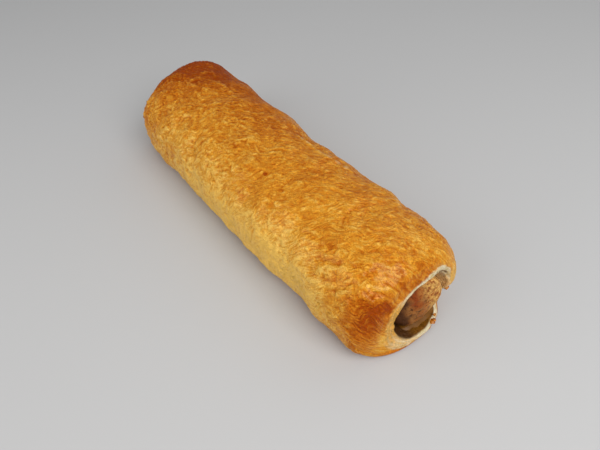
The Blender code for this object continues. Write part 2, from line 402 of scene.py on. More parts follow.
def swelling(points):
    """Outward shift of the skin at the points: soft swellings, and the overlap along the +Y side."""
    x, y, z = points[..., 0], points[..., 1], points[..., 2]
    turn = turn_of(y, z)
    draw = np.random.default_rng(SWELL_SEED)
    shift = np.zeros_like(x)
    for _ in range(SWELL_WAVES):
        length = draw.uniform(*SWELL_LENGTHS)
        lobes = draw.integers(-SWELL_MOST_LOBES, SWELL_MOST_LOBES + 1)
        shift += np.sin(2 * np.pi * x / length + lobes * turn + draw.uniform(0, 2 * np.pi))
    shift *= SWELL_DEPTH / np.sqrt(SWELL_WAVES / 2)
    wave, ripple = (np.sin(x / length) for length in SEAM_WAVES)
    edge = SEAM_HEIGHT + SEAM_SWAY * (wave + SEAM_RIPPLE_SHARE * ripple)
    above = (z - edge) / SEAM_FADE
    flap = np.where(above > 0, 1 - ease(above), ease(1 + SEAM_STEEPNESS * above)) * (y > 0)
    shift += SEAM_STEP * flap * ease((HALF_LENGTH - SEAM_END - np.abs(x)) / SEAM_END_FADE)
    return shift * step(z, RELIEF_STARTS, RELIEF_FULL)


def outward(points, closed):
    """Unit normals of a grid of points whose columns go round. The rows join up too if closed."""
    if closed:
        down = np.roll(points, -1, 0) - np.roll(points, 1, 0)
    else:
        down = np.gradient(points, axis=0)
    round_it = np.roll(points, -1, 1) - np.roll(points, 1, 1)
    normal = np.cross(round_it, down)
    return normal / np.maximum(np.linalg.norm(normal, axis=2, keepdims=True), 1e-12)


def ring_faces(rows, columns, closed):
    """Faces of a grid whose columns go round, facing out of a tube whose rows run to +X."""
    r, k = np.meshgrid(np.arange(rows if closed else rows - 1), np.arange(columns), indexing="ij")
    after = (k + 1) % columns
    below = (r + 1) % rows
    corners = (r * columns + k, r * columns + after, below * columns + after, below * columns + k)
    return np.stack(corners, 2).reshape(-1, 4)


def capped_faces(rows, columns, start=0):
    """Faces of a closed tube, with a fan at each end round the two points that follow its grid."""
    faces = (ring_faces(rows, columns, False) + start).tolist()
    first, last = start, start + (rows - 1) * columns
    far_tip = start + rows * columns
    for k in range(columns):
        after = (k + 1) % columns
        faces.append((far_tip, first + after, first + k))
        faces.append((far_tip + 1, last + k, last + after))
    return faces


# Smooth noise. Each use of it has a seed of its own

SEED_FACTOR = 974634777
LATTICE_PRIMES = (374761393, 668265263, 1274126177)
MIXING_PRIMES = (1274126177, 2246822519)
LOW_BITS = 0xFFFFFFFF
NOISE_GAIN = 1.6


def mixed(cell, seed):
    """A well mixed whole number for each cell of a lattice, the same for the same seed."""
    mix = np.full(cell.shape[:-1], seed * SEED_FACTOR, np.int64)
    for i, prime in zip(range(cell.shape[-1]), LATTICE_PRIMES):
        mix += cell[..., i] * prime
    mix = (mix ^ (mix >> 13)) * MIXING_PRIMES[0] & LOW_BITS
    mix = (mix ^ (mix >> 16)) * MIXING_PRIMES[1] & LOW_BITS
    return mix ^ (mix >> 15)


def noise(points, size, seed):
    """Gradient noise of about -1 to 1 with lumps of that size, for points of two or three coordinates.

    Each coordinate of a gradient comes from ten bits of its cell's number.
    """
    place = points / np.asarray(size)
    cell = np.floor(place).astype(np.int64)
    local = place - cell
    fade = local**3 * (local * (local * 6 - 15) + 10)
    total = np.zeros(place.shape[:-1])
    for corner in np.ndindex(*(2,) * place.shape[-1]):
        offset = np.array(corner)
        value = mixed(cell + offset, seed)
        gradient = np.stack([(value >> 10 * i & 1023) / 511.5 - 1 for i in range(len(corner))], -1)
        weight = np.prod(np.where(offset, fade, 1 - fade), -1)
        total += weight * ((local - offset) * gradient).sum(-1)
    return total * NOISE_GAIN


def sway(flat, size, reach, seed):
    """Shifts of places on the skin, along and round, in lumps of that size and about as far as the reach."""
    return np.stack([noise(flat, size, seed), noise(flat, size, seed + 1)], -1) * reach


def turned(flat, angle):
    """The places on the skin, turned by an angle in radians."""
    x, s = flat[..., 0], flat[..., 1]
    return np.stack([x * np.cos(angle) - s * np.sin(angle), x * np.sin(angle) + s * np.cos(angle)], -1)


def drifting(flat, size, seed):
    """Noise whose lumps are longer than wide and whose direction drifts over the crust."""
    heading = WRINKLE_MIDDLE + WRINKLE_DRIFT * noise(flat, WRINKLE_DRIFT_SIZE, seed)
    total, power = 0, 0
    for k, angle in enumerate(WRINKLE_ANGLES):
        weight = band(heading, angle, WRINKLE_SPREAD)
        total = total + weight * noise(turned(flat, angle), size, seed + 1 + k)
        power = power + weight**2
    return total / np.sqrt(power)


# Crust


def rims():
    """Points of the crests of the near and the far end, and then of their mouths."""
    crests = [rim(end, end.crest, ()) for end in (NEAR_END, FAR_END)]
    mouths = [rim(end, end.mouth, end.recesses) for end in (NEAR_END, FAR_END)]
    return crests, mouths


def pastry_grid():
    """Smooth points of the pastry, and the stage of each: body 0, crest 1, mouth 2 and snug hollow 3."""
    table = body_table()
    (near_crest, far_crest), (near_mouth, far_mouth) = rims()
    far_start = shoulder_start(FAR_END, far_crest)
    near_start = shoulder_start(NEAR_END, near_crest)
    share = np.linspace(0, 1, BODY_ROWS)[:, None]
    body = body_points(far_start + (near_start - far_start) * share, table)
    near_flare = flare_rows(NEAR_END, near_mouth, FLARE_ROWS)
    far_flare = flare_rows(FAR_END, far_mouth, FLARE_ROWS)
    share = np.linspace(0, 1, BORE_ROWS + 2)[1:-1, None, None]
    rows = (
        body,
        shoulder_rows(NEAR_END, near_crest, table),
        lip_rows(NEAR_END, near_crest, near_mouth),
        near_flare,
        near_flare[-1] + (far_flare[-1] - near_flare[-1]) * share,
        far_flare[::-1],
        lip_rows(FAR_END, far_crest, far_mouth)[::-1],
        shoulder_rows(FAR_END, far_crest, table)[::-1],
    )
    points = np.concatenate(rows)
    flare = 2 + shares(FLARE_ROWS) ** FLARE_CROWDING
    inward = np.concatenate([shares(SHOULDER_ROWS), 1 + shares(LIP_ROWS), flare])
    stage = np.concatenate([np.zeros(BODY_ROWS), inward, np.full(BORE_ROWS, 3.0), inward[::-1]])
    return points, np.broadcast_to(stage[:, None], points.shape[:2])


def unrolled(points):
    """Places on the skin as (along, round) in metres, from the middle of the top."""
    middle = COLUMNS // 2
    steps = np.linalg.norm(points - np.roll(points, 1, 1), axis=2)
    run = np.cumsum(steps, 1)
    return np.stack([points[..., 0], run - run[:, middle : middle + 1]], -1)


@dataclass
class Fold:
    """A fold of the crust: its line as (along, round) from the middle of the top, half width and height.

    Line and width are in millimetres. A height below zero makes a crease.
    """

    line: tuple
    width: float
    height: float


# Larger folds and creases: the blister near the gaping end, then the top, the far end and the back
FOLDS = (
    Fold(((44, 34), (52, 35), (58, 33), (63, 29), (67, 24)), 0.9, 0.9),
    Fold(((45, 31), (48, 27), (52, 23), (57, 20)), 1.2, 0.8),
    Fold(((51, 27), (55, 24.5), (60, 22)), 0.8, -0.9),
    Fold(((56, 27), (59, 24.5), (63, 22)), 1.7, 0.8),
    Fold(((52, 32), (58, 30), (63, 26.5)), 1.4, -0.8),
    Fold(((64, 31), (65, 27), (68, 23), (70, 17), (70, 14)), 0.8, -0.9),
    Fold(((68, 21.5), (72, 19.5), (75, 17), (77.5, 14), (79, 12)), 0.9, 1.0),
    Fold(((66, 30), (68, 27), (70, 25)), 0.8, 0.8),
    Fold(((76, 22), (77, 19.5), (78.5, 16)), 0.6, 0.9),
    Fold(((49, 11), (46, 7), (45, 3), (46, -3)), 0.7, -0.9),
    Fold(((61.5, 14), (64, 10), (66, 8)), 0.7, -0.8),
    Fold(((65.5, 7), (65, 4), (66.5, 2)), 0.8, 0.9),
    Fold(((-66, 14.5), (-62.5, 18.5), (-58, 19.5)), 0.9, -0.4),
    Fold(((-61, -8), (-55, -10), (-45, -11)), 1.2, 0.6),
    Fold(((-0.5, -1.5), (2, -4), (5, -6)), 0.8, 1.1),
    Fold(((-3, -16.5), (2, -17), (8, -16), (15, -13.5)), 1.0, 1.2),
)
FOLD_LIMIT = 1.2


def fold_heights(flat):
    """Height of the larger folds, from about -1 in a crease to 1 on a fold."""
    total = np.zeros(flat.shape[:-1])
    for fold in FOLDS:
        nearest = np.full(flat.shape[:-1], np.inf)
        line = np.array(fold.line) * MM
        for start, stop in zip(line[:-1], line[1:]):
            run = stop - start
            share = np.clip(((flat - start) @ run) / (run @ run), 0, 1)
            nearest = np.minimum(nearest, np.linalg.norm(flat - start - share[..., None] * run, axis=-1))
        total += fold.height * band(nearest, 0, fold.width * MM)
    return np.clip(total, -FOLD_LIMIT, FOLD_LIMIT)


def wrinkles(flat):
    """The wrinkled crust's height, from about 0 to 1, and how much browner or paler it is there: its own
    uneven browning, with painted highlight on folds and flecks and painted shade in grooves and creases.
    """
    broad, close = sway(flat, *BROAD_SWAY), sway(flat, *CLOSE_SWAY)
    places = flat + broad + close
    coarse, fine = (drifting(places, size, seed) for size, seed in zip(WRINKLE_SIZES, WRINKLE_SEEDS))
    spread = noise(flat, 9 * MM, 23)
    folded = step(spread + 0.6 * noise(flat, 3.5 * MM, 24), -0.35, 0.35)
    far = ease((30 * MM - flat[..., 0]) / (60 * MM))
    small = 0.80 + 0.20 * far
    puffed = np.clip(np.abs(coarse) / 0.45, 0, 1) ** 0.75
    fold, groove = (band(coarse, *given) * folded for given in (FOLD_BAND, GROOVE_BAND))
    small_fold, small_groove = (band(fine, *given) for given in (SMALL_FOLD_BAND, SMALL_GROOVE_BAND))
    # Pale flecks: pale flakes of the crust, with painted highlight on them
    fleck = step(noise(flat + close, FLECK_SIZE, 70) + 0.22 * spread, *FLECK_RANGE) * (0.35 + 0.65 * far)
    large = fold_heights(flat + 0.6 * close + 0.2 * broad)
    height = REST_HEIGHT + PUFF_HEIGHT * puffed + FOLD_HEIGHT * fold + GROOVE_HEIGHT * groove
    height += small * (SMALL_FOLD_HEIGHT * small_fold + SMALL_GROOVE_HEIGHT * small_groove)
    height += FLECK_HEIGHT * fleck + LARGE_FOLD_HEIGHT * large
    # Paler on folds and flecks, darker in grooves and creases: painted highlight and painted shade that
    # follow the relief, over the crust's own mottling
    tone = FOLD_TONE * fold + GROOVE_TONE * groove + FLECK_TONE * fleck + LARGE_FOLD_TONE * large
    tone += SMALL_FOLD_TONE * small_fold + SMALL_GROOVE_TONE * small_groove
    return height, tone * small


def hair_places(flat):
    """Places on the crust as (across, along) its finest folds, in their own widths and lengths."""
    broad, close = (sway(flat, *given) for given in HAIR_SWAYS)
    return turned(flat + broad + close, WRINKLE_MIDDLE) / HAIR_SIZE


@dataclass
class Patch:
    """A patch of the crust: its middle along the roll and round it, its reach each way, and its strength.

    Turns are in degrees: 0 is +Y and 90 is the top.
    """

    x: float
    turn: float
    reach_x: float
    reach_turn: float
    strength: float


# Browner patches of the crust, and paler ones with a strength below zero
BROWNING = (
    Patch(-88 * MM, 60, 11 * MM, 100, 0.57),
    Patch(-73 * MM, 92, 15 * MM, 44, 0.34),
    Patch(-62 * MM, 50, 26 * MM, 38, 0.33),
    Patch(-35 * MM, 150, 30 * MM, 22, -0.12),
    Patch(-20 * MM, 62, 26 * MM, 26, 0.15),
    Patch(78 * MM, 145, 6 * MM, 20, 0.36),
    Patch(79 * MM, 172, 8 * MM, 24, 0.46),
    Patch(82 * MM, 105, 3 * MM, 60, 0.12),
    Patch(82 * MM, 30, 6 * MM, 22, -0.05),
    Patch(79 * MM, 66, 5 * MM, 20, 0.13),
    Patch(2 * MM, 188, 66 * MM, 26, -0.55),
    Patch(30 * MM, 156, 42 * MM, 22, -0.20),
    Patch(-10 * MM, 2, 46 * MM, 14, -0.25),
    Patch(82 * MM, 0, 12 * MM, 30, -0.34),
    Patch(50 * MM, 108, 40 * MM, 50, -0.07),
    Patch(70 * MM, 60, 9 * MM, 20, -0.08),
    Patch(79 * MM, 138, 3 * MM, 12, 0.16),
    Patch(46 * MM, 176, 22 * MM, 22, -0.24),
    Patch(64 * MM, 156, 9 * MM, 16, 0.10),
    Patch(22 * MM, 78, 14 * MM, 20, 0.06),
    Patch(8.4 * MM, 120, 0.50 * MM, 1.2, 3.2),
)
MEAN_BROWN = 0.50
# The underside is browner, up to a height and out to a width
UNDERSIDE_BROWN = 0.25
UNDERSIDE_TOP = 6 * MM
UNDERSIDE_HALF_WIDTH = 24 * MM
# The left side of the near lip is pale: direction, spread and strength
PALE_LIP = (172, 34, 0.30)


def browning(points, flat, direction, stage):
    """How brown the crust is, from 0 for pale to 1 for dark."""
    x, y, z = points[..., 0], points[..., 1], points[..., 2]
    turn = np.degrees(turn_of(y, z))
    brown = np.full(x.shape, MEAN_BROWN)
    for patch in BROWNING:
        shown = band(x, patch.x, patch.reach_x) * band(off(turn, patch.turn), 0, patch.reach_turn)
        brown += patch.strength * shown
    brown += 0.10 * noise(flat, 14 * MM, 41) + 0.12 * noise(flat, 4.5 * MM, 42)
    under = ease((UNDERSIDE_TOP - z) / UNDERSIDE_TOP) * (np.abs(y) < UNDERSIDE_HALF_WIDTH)
    at, spread, strength = PALE_LIP
    lip = step(stage, 0.72, 1.02) * band(off(direction, at), 0, spread) * (x > 0)
    return brown + UNDERSIDE_BROWN * under - strength * lip


# The edges of the cut dough, by direction round the mouth: the stages at which the crust ends and at which
# fat begins to soak the dough. Further in and towards the left, the soaked part is painted dark as shade
EDGES = (
    (-180, 1.32, 2.06),
    (-165, 1.32, 2.02),
    (-154, 1.16, 1.99),
    (-146, 1.04, 1.96),
    (-134, 1.06, 1.92),
    (-120, 1.34, 1.84),
    (-105, 1.34, 1.84),
    (-75, 1.16, 1.84),
    (-55, 1.10, 1.86),
    (-35, 1.50, 1.90),
    (-10, 1.88, 2.00),
    (12, 1.66, 2.30),
    (30, 1.22, 2.34),
    (52, 1.10, 2.45),
    (72, 1.40, 2.25),
    (95, 1.62, 2.08),
    (110, 1.70, 1.98),
    (132, 1.55, 1.98),
    (142, 1.30, 1.98),
    (154, 1.20, 2.00),
    (166, 1.26, 2.03),
    (180, 1.32, 2.06),
)
# Small pale flakes at the back edge of the top
FLAKES = (
    Patch(-0.8 * MM, 55, 0.9 * MM, 2.4, 0.50),
    Patch(2.0 * MM, 53, 0.8 * MM, 2.6, 0.60),
    Patch(15 * MM, 52, 1.7 * MM, 2.6, 0.42),
    Patch(19.5 * MM, 49, 1.6 * MM, 2.4, 0.40),
    Patch(23.5 * MM, 47, 1.1 * MM, 2.4, 0.50),
)
# Tan sauce on the near right wall: direction and its reach, stage and its reach
SMEAR = (-6, 19, 2.15, 0.50)
# Painted shade of a crack along the upper right of the near lip, given the same way
CRACK_SHADE = (37, 16, 1.74, 0.17)


def cut_soak_and_shade(points, direction, stage):
    """How far each place is cut dough, is soaked with fat, which also carries the painted shade of a crack,
    and is smeared with sauce, from 0 to 1.
    """
    x, y, z = points[..., 0], points[..., 1], points[..., 2]
    turn = np.degrees(turn_of(y, z))
    ragged = 0.10 * noise(points, 3.2 * MM, 64) + 0.05 * noise(points, 1.2 * MM, 65)
    directions, crust_ends, soak_begins = np.array(EDGES).T
    ends = np.interp(direction, directions, crust_ends)
    soaks = np.interp(direction, directions, soak_begins)
    dough = step(stage + ragged - ends, -0.07, 0.09)
    for flake in FLAKES:
        far = ((x - flake.x) / flake.reach_x) ** 2 + ((turn - flake.turn) / flake.reach_turn) ** 2
        dough = np.maximum(dough, flake.strength * step(ragged * 4 - far, -1.3, -0.5) * (stage == 0))
    soak = step(stage + 0.4 * ragged - soaks, -0.04, 0.16)
    # The crack is painted shade, merged into the soaked part
    crack_shade, smear = (
        (band(direction, at, spread) * band(stage, place, reach) + 1.5 * ragged) * (x > 0)
        for at, spread, place, reach in (CRACK_SHADE, SMEAR)
    )
    return dough, np.maximum(soak, step(crack_shade, 0.36, 0.60)), step(smear, 0.30, 0.55)


def wrinkle_depth(x, y, z):
    """How deep the wrinkles are, from 0 to 1: shallow on the base, the pale side and the far half's back."""
    pale_side = 0.64 * band(z, 3 * MM, 4.5 * MM) * (y < 0) * (x < 60 * MM)
    far_back = 0.6 * step(y, 4 * MM, 18 * MM) * ease(-x / (30 * MM)) * step(x, -84 * MM, -74 * MM)
    return (1 - pale_side) * (1 - far_back) * step(z, 1 * MM, 5 * MM)


def hollow_shade(direction, stage):
    """How far in or towards the shaded left side a place of a hollow lies, from 0 to 1, which sets how much
    shade is painted there.
    """
    left = np.maximum(ease((-100 - direction) / 30), ease((direction - 40) / 30))
    return np.clip(np.maximum((stage - 2.1) / 0.5, left), 0, 1)


def yellowed(direction, stage):
    """How yellow the cut dough is, from 0 to 1: most on each mouth's left, and half in the skin's flakes."""
    low_left = 0.48 * ease((-102 - direction) / 14) + 0.52 * ease((-132 - direction) / 36)
    left = np.maximum(low_left, ease((direction - 120) / 30))
    right = 0.5 * band(direction, 10, 14)
    return np.where(stage == 0, 0.45, left + right)


def crust_mesh():
    """Points, faces and attributes of the pastry."""
    smooth_points, stage = pastry_grid()
    x, y, z = smooth_points[..., 0], smooth_points[..., 1], smooth_points[..., 2]
    direction = direction_of(y, z)
    flat = unrolled(smooth_points)
    skin = np.clip(SKIN_ENDS - stage, 0, 1) ** SKIN_FADE
    height, tone = wrinkles(flat)
    hair = hair_places(flat)
    depth = wrinkle_depth(x, y, z)
    shift = swelling(smooth_points) * (stage < 1)
    shift += skin * depth * WRINKLE_DEPTH * (height - WRINKLE_REST)
    shift += skin * step(z, 1 * MM, 6 * MM) * DENT_DEPTH * (noise(flat, DENT_SIZE, 81) - DENT_REST)
    dough, soak, smear = cut_soak_and_shade(smooth_points, direction, stage)
    lip = dough * (1 - step(stage, 2.0, 2.3))
    layers = np.sin(2 * np.pi * LAYER_COUNT * (stage - 1) + 3 * noise(smooth_points, 7 * MM, 61))
    torn = LAYER_DEPTH * layers + TORN_DEPTH * noise(smooth_points, 2.6 * MM, 62)
    shift += lip * torn * ease(z / (3 * MM))
    hollow = step(stage, 2.0, 2.2) * (1 - step(stage, 2.5, 3.0))
    shift += hollow * HOLLOW_DEPTH * noise(smooth_points, 3 * MM, 63)
    shift += smear * SMEAR_THICKNESS
    points = smooth_points + outward(smooth_points, True) * shift[..., None]
    points[..., 2] = np.maximum(points[..., 2], 0)
    facts = {
        # The tone holds the crust's browning and the painted highlight and shade of its wrinkles
        "tone": browning(smooth_points, flat, direction, stage) + tone * depth,
        "gloss": np.clip(height * depth + (1 - depth) * 0.5, 0, 1),
        "dough": dough,
        "soak": soak,
        "smear": smear,
        # How far in the hollow's painted shade reaches
        "inside": hollow_shade(direction, stage),
        "yellow": yellowed(direction, stage) + 0.16 * lip * layers,
        "hair_across": hair[..., 0],
        "hair_along": hair[..., 1],
        "wrinkled": depth,
    }
    return points.reshape(-1, 3) + CENTRING, ring_faces(*stage.shape, True), facts


# Sausage

SKIN_INSET = 0.15 * MM
TIP_STARTS = 0.8 * SAUSAGE_NEAR
GRAIN_STARTS = 66 * MM
# Depths in millimetres: along the sausage, and what the end of each tip adds
LUMP_DEPTHS = (0.10, 0.55)
GRAIN_DEPTHS = (0.10, 0.14)
MOST_RAISED = (0.2, 0.5)
# A redder streak down the sausage's tip: its place across and its half width, as shares of the radius
RED_STREAK = (-0.17, 0.17)


def sausage_rows():
    """x of each ring of the sausage and its share of the radius, close together at the tips."""
    turn = 0.5 * np.pi * shares(DOME_RINGS)
    radius = np.sin(turn) ** (2 / DOME_EXPONENT)
    inset = SAUSAGE_DOME * (1 - np.cos(turn) ** (2 / DOME_EXPONENT))
    neck = SAUSAGE_DOME + NECK_STEP * np.arange(1, NECK_RINGS + 1)
    far = -SAUSAGE_FAR + np.concatenate([inset, neck])
    near = (SAUSAGE_NEAR - np.concatenate([inset, neck]))[::-1]
    bar = np.linspace(far[-1], near[0], BAR_RINGS + 2)[1:-1]
    share = np.concatenate([radius, np.ones(2 * NECK_RINGS + BAR_RINGS), radius[::-1]])
    return np.concatenate([far, bar, near]), share


def sausage_mesh():
    """Points, faces and attributes of the sausage: grainy minced meat with uneven domed tips."""
    x, share = sausage_rows()
    turn = np.linspace(0, 2 * np.pi, SAUSAGE_COLUMNS, endpoint=False)
    radius = share[:, None] * (SAUSAGE_RADIUS - SKIN_INSET)
    y, z = radius * np.cos(turn), radius * np.sin(turn)
    tip = step(np.abs(x), TIP_STARTS, SAUSAGE_NEAR)[:, None]
    way = NEAR_SLOPE_WAY[0] * y + NEAR_SLOPE_WAY[1] * z
    near = NEAR_SLOPE * 0.5 * (way + np.sqrt(way**2 + NEAR_BEND**2))
    leaning = np.where(x[:, None] > 0, near, DOME_LEAN * z)
    points = np.stack([x[:, None] - np.sign(x)[:, None] * leaning * tip, y, z], 2)
    normal = outward(points, False)
    normal[0], normal[-1] = (-1, 0, 0), (1, 0, 0)
    shown = tip * (np.abs(points[..., 0]) > GRAIN_STARTS)
    lumps = noise(points, 5.5 * MM, 71)
    grain = noise(points, 1.5 * MM, 72) + 0.6 * noise(points, 0.8 * MM, 73)
    end = ease((1 - share) / 0.3)[:, None]
    lump_depth, grain_depth, most = (
        (side + more * end) * MM for side, more in (LUMP_DEPTHS, GRAIN_DEPTHS, MOST_RAISED)
    )
    drawn_in = NEAR_TAPER * step(points[..., 0], *NEAR_TAPER_REACH)
    shift = shown * (lump_depth * lumps + grain_depth * grain) - drawn_in
    points = points + normal * np.minimum(shift, most)[..., None]
    tips = np.array([points[0].mean(0), points[-1].mean(0)])
    grain = np.append(grain.ravel(), [0, 0])
    placed = np.concatenate([points.reshape(-1, 3), tips]) + (0, *BORE_CENTRE)
    across, up = ((placed - (0, *BORE_CENTRE)) / SAUSAGE_RADIUS).T[1:]
    side = across + 0.2 * up
    at, reach = RED_STREAK
    red = band(side + 0.15 * noise(placed, 2.6 * MM, 74), at, reach) * step(up, -0.10, 0.25)
    uneven = 0.15 * noise(placed, 3.2 * MM, 75)
    # Dark towards the upper left by the lip: partly dark fat, partly painted shade cast by the lip
    dark = np.maximum(step(uneven - side, 0.40, 0.72), step(uneven + 0.75 * up - side, 0.56, 0.76))
    facts = {"grain": grain, "side": side, "red": red, "dark": dark}
    return placed + CENTRING, capped_faces(len(x), SAUSAGE_COLUMNS), facts


# Sauce and crumbs

POOL_LEVEL = 4.9 * MM
POOL_RIPPLE = 0.12 * MM
POOL_END = 80 * MM
POOL_FALL = 1.6 * MM
POOL_FALL_LENGTH = 5.5 * MM
POOL_EDGE = 0.6 * MM
POOL_HALF_ANGLE = 62
POOL_ROWS = 40
POOL_INSET = 0.4 * MM
POOL_SEEDS = (101, 102)


def pool_part(end, mouth, seed):
    """Grid points of the fat in one mouth, which of them belong to it, and how far in they lie.

    Its rim lies inside the dough.
    """
    flare = flare_rows(end, mouth, POOL_ROWS)
    inside = np.broadcast_to(shares(POOL_ROWS)[:, None], flare.shape[:2])
    direction = direction_of(flare[..., 1], flare[..., 2])
    ragged = noise(flare, 4 * MM, seed)
    points = flare.copy()
    points[..., 2] += POOL_INSET * np.sin(np.radians(direction))
    fall = POOL_FALL * ease((end.side * flare[..., 0] - POOL_END) / POOL_FALL_LENGTH)
    level = POOL_LEVEL + POOL_RIPPLE * ragged - fall
    low = (flare[..., 2] < level + POOL_EDGE) & (np.abs(direction + 90) < POOL_HALF_ANGLE)
    points[..., 2] = np.where(low, np.maximum(level, points[..., 2]), points[..., 2])
    return points, low, inside


def pool_mesh():
    """Points, faces and attributes of the fat in both mouths."""
    points, faces, depths, start = [], [], [], 0
    for end, mouth, seed in zip((NEAR_END, FAR_END), rims()[1], POOL_SEEDS):
        grid, kept, inside = pool_part(end, mouth, seed)
        quads = ring_faces(*kept.shape, False)
        quads = quads[kept.ravel()[quads].any(1)][:, :: end.side]
        used, renumbered = np.unique(quads, return_inverse=True)
        points.append(grid.reshape(-1, 3)[used])
        depths.append(inside.ravel()[used])
        faces.append(renumbered.reshape(quads.shape) + start)
        start += len(used)
    return np.concatenate(points) + CENTRING, np.concatenate(faces), {"inside": np.concatenate(depths)}


# Dents of the crumbs: depth and size, as shares of the half size
CRUMB_DENTS = (0.45, 0.9)
# Crisp crumbs baked on to the near lip's lower edge: middle and half sizes in millimetres
CRUMBS = (
    ((85.3, 11.0, 3.2), (1.2, 1.4, 0.8)),
    ((85.8, 8.6, 1.7), (0.7, 1.3, 0.6)),
    ((84.4, 12.4, 5.4), (0.5, 0.6, 0.8)),
    ((79.8, 22.6, 9.4), (0.9, 1.0, 0.8)),
)


def crumb_mesh():
    """Points and faces of the small knobbly crumbs, each a dented ball."""
    tilt = np.linspace(np.pi, 0, CRUMB_RINGS + 2)[1:-1, None]
    turn = np.linspace(0, 2 * np.pi, CRUMB_COLUMNS, endpoint=False)[None]
    x = np.broadcast_to(np.cos(tilt), (CRUMB_RINGS, CRUMB_COLUMNS))
    ball = np.stack([x, np.sin(tilt) * np.cos(turn), np.sin(tilt) * np.sin(turn)], -1)
    points, faces = [], []
    for k, (middle, half) in enumerate(CRUMBS):
        knobbly = ball * (1 + CRUMB_DENTS[0] * noise(ball + 7 * k, CRUMB_DENTS[1], 111))[..., None]
        knobbly = np.concatenate([knobbly.reshape(-1, 3), [(-1, 0, 0), (1, 0, 0)]])
        faces += capped_faces(CRUMB_RINGS, CRUMB_COLUMNS, k * len(knobbly))
        points.append((np.array(middle) + knobbly * half) * MM)
    return np.concatenate(points) + CENTRING, faces, {}


# Meshes and materials


def piece(name, points, faces, facts, look, replaced=None, slot=None):
    """Make a mesh piece with smooth shading, its attributes and its material, riding on the roll."""
    mesh = bpy.data.meshes.new(name)
    mesh.from_pydata(points.tolist(), [], faces if isinstance(faces, list) else faces.tolist())
    mesh.polygons.foreach_set("use_smooth", [True] * len(mesh.polygons))
    for key, values in facts.items():
        attribute = mesh.attributes.new(key, "FLOAT", "POINT")
        attribute.data.foreach_set("value", np.ascontiguousarray(values, np.float32).ravel())
    mesh.materials.append(look)
    mesh.update()
    made = bpy.data.objects.new(name, mesh)
    bpy.context.scene.collection.objects.link(made)
    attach(made, "root")
    if replaced:
        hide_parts(replaced)


class Nodes:
    """Short calls for building a material's nodes."""

    def __init__(self, name):
        self.material = bpy.data.materials.new(name)
        self.material.use_nodes = True
        self.tree = self.material.node_tree
        self.shader = self.tree.nodes["Principled BSDF"]

    def add(self, kind, **settings):
        made = self.tree.nodes.new(kind)
        for key, value in settings.items():
            setattr(made, key, value)
        return made

    def put(self, socket, value):
        """Link the socket to another one, or set its value."""
        if isinstance(value, bpy.types.NodeSocket):
            self.tree.links.new(value, socket)
        else:
            socket.default_value = value

    def fact(self, name):
        """One of the mesh's attributes."""
        return self.add("ShaderNodeAttribute", attribute_name=name).outputs["Fac"]

    def math(self, operation, first, second=0.0, third=0.0):
        made = self.add("ShaderNodeMath", operation=operation)
        for socket, value in zip(made.inputs, (first, second, third)):
            self.put(socket, value)
        return made.outputs[0]

    def between(self, value, low, high, out_low=0.0, out_high=1.0):
        """The value mapped from low..high to out_low..out_high, eased and held at both ends."""
        made = self.add("ShaderNodeMapRange", interpolation_type="SMOOTHSTEP")
        for socket, given in zip(made.inputs, (value, low, high, out_low, out_high)):
            self.put(socket, given)
        return made.outputs[0]

    def noise(self, size, detail=2.0, roughness=0.5, distortion=0.0, place=None):
        """Noise from 0 to 1 with lumps of that size, over the given place or else over the piece itself."""
        made = self.add("ShaderNodeTexNoise")
        self.put(made.inputs["Vector"], place or self.add("ShaderNodeTexCoord").outputs["Object"])
        settings = {"Scale": 1 / size, "Detail": detail, "Roughness": roughness, "Distortion": distortion}
        for key, value in settings.items():
            made.inputs[key].default_value = value
        return made.outputs[0]

    def ramp(self, value, stops):
        """A colour that goes through the stops, each a share and a colour."""
        made = self.add("ShaderNodeValToRGB")
        ramp = made.color_ramp
        while len(ramp.elements) < len(stops):
            ramp.elements.new(0.5)
        for element, (place, colour) in zip(ramp.elements, stops):
            element.position = place
            element.color = (*colour, 1)
        self.put(made.inputs[0], value)
        return made.outputs[0]

    def mix(self, share, first, second):
        """A colour that goes from first to second with the share."""
        made = self.add("ShaderNodeMix", data_type="RGBA")
        self.put(made.inputs[0], share)
        for socket, value in zip(made.inputs[6:8], (first, second)):
            self.put(socket, value if isinstance(value, bpy.types.NodeSocket) else (*value, 1))
        return made.outputs[2]

    def blend(self, share, first, second):
        """A number that goes from first to second with the share."""
        made = self.add("ShaderNodeMix", data_type="FLOAT")
        for socket, value in zip(made.inputs[0:1] + made.inputs[2:4], (share, first, second)):
            self.put(socket, value)
        return made.outputs[0]

    def bump(self, height, strength, distance):
        """Relief of the whole surface, of that distance from low to high."""
        made = self.add("ShaderNodeBump")
        made.inputs["Strength"].default_value = strength
        made.inputs["Distance"].default_value = distance
        self.put(made.inputs["Height"], height)
        self.put(self.shader.inputs["Normal"], made.outputs[0])

    def finish(self, colour, roughness, **uniform):
        """The material, with its colour, its roughness and what is the same all over it."""
        self.put(self.shader.inputs["Base Color"], colour)
        self.put(self.shader.inputs["Roughness"], roughness)
        for key, value in uniform.items():
            self.shader.inputs[key.replace("_", " ")].default_value = value
        return self.material


# Colours, as the surface reflects them
CRUST_PALE = (0.98, 0.575, 0.103)
CRUST_GOLD = (0.79, 0.325, 0.018)
CRUST_ORANGE = (0.60, 0.170, 0.003)
CRUST_BROWN = (0.37, 0.060, 0.0)
CREAM = (0.92, 0.80, 0.54)
CREAM_DEEP = (0.74, 0.56, 0.24)
CREAM_YELLOW = (0.92, 0.45, 0.070)
CREAM_OLIVE = (0.66, 0.35, 0.070)
# Fat deep in the crust's hollow, painted dark as shade
FAT_IN_SHADE = (0.09, 0.034, 0.008)
SMEARED = (0.90, 0.50, 0.18)
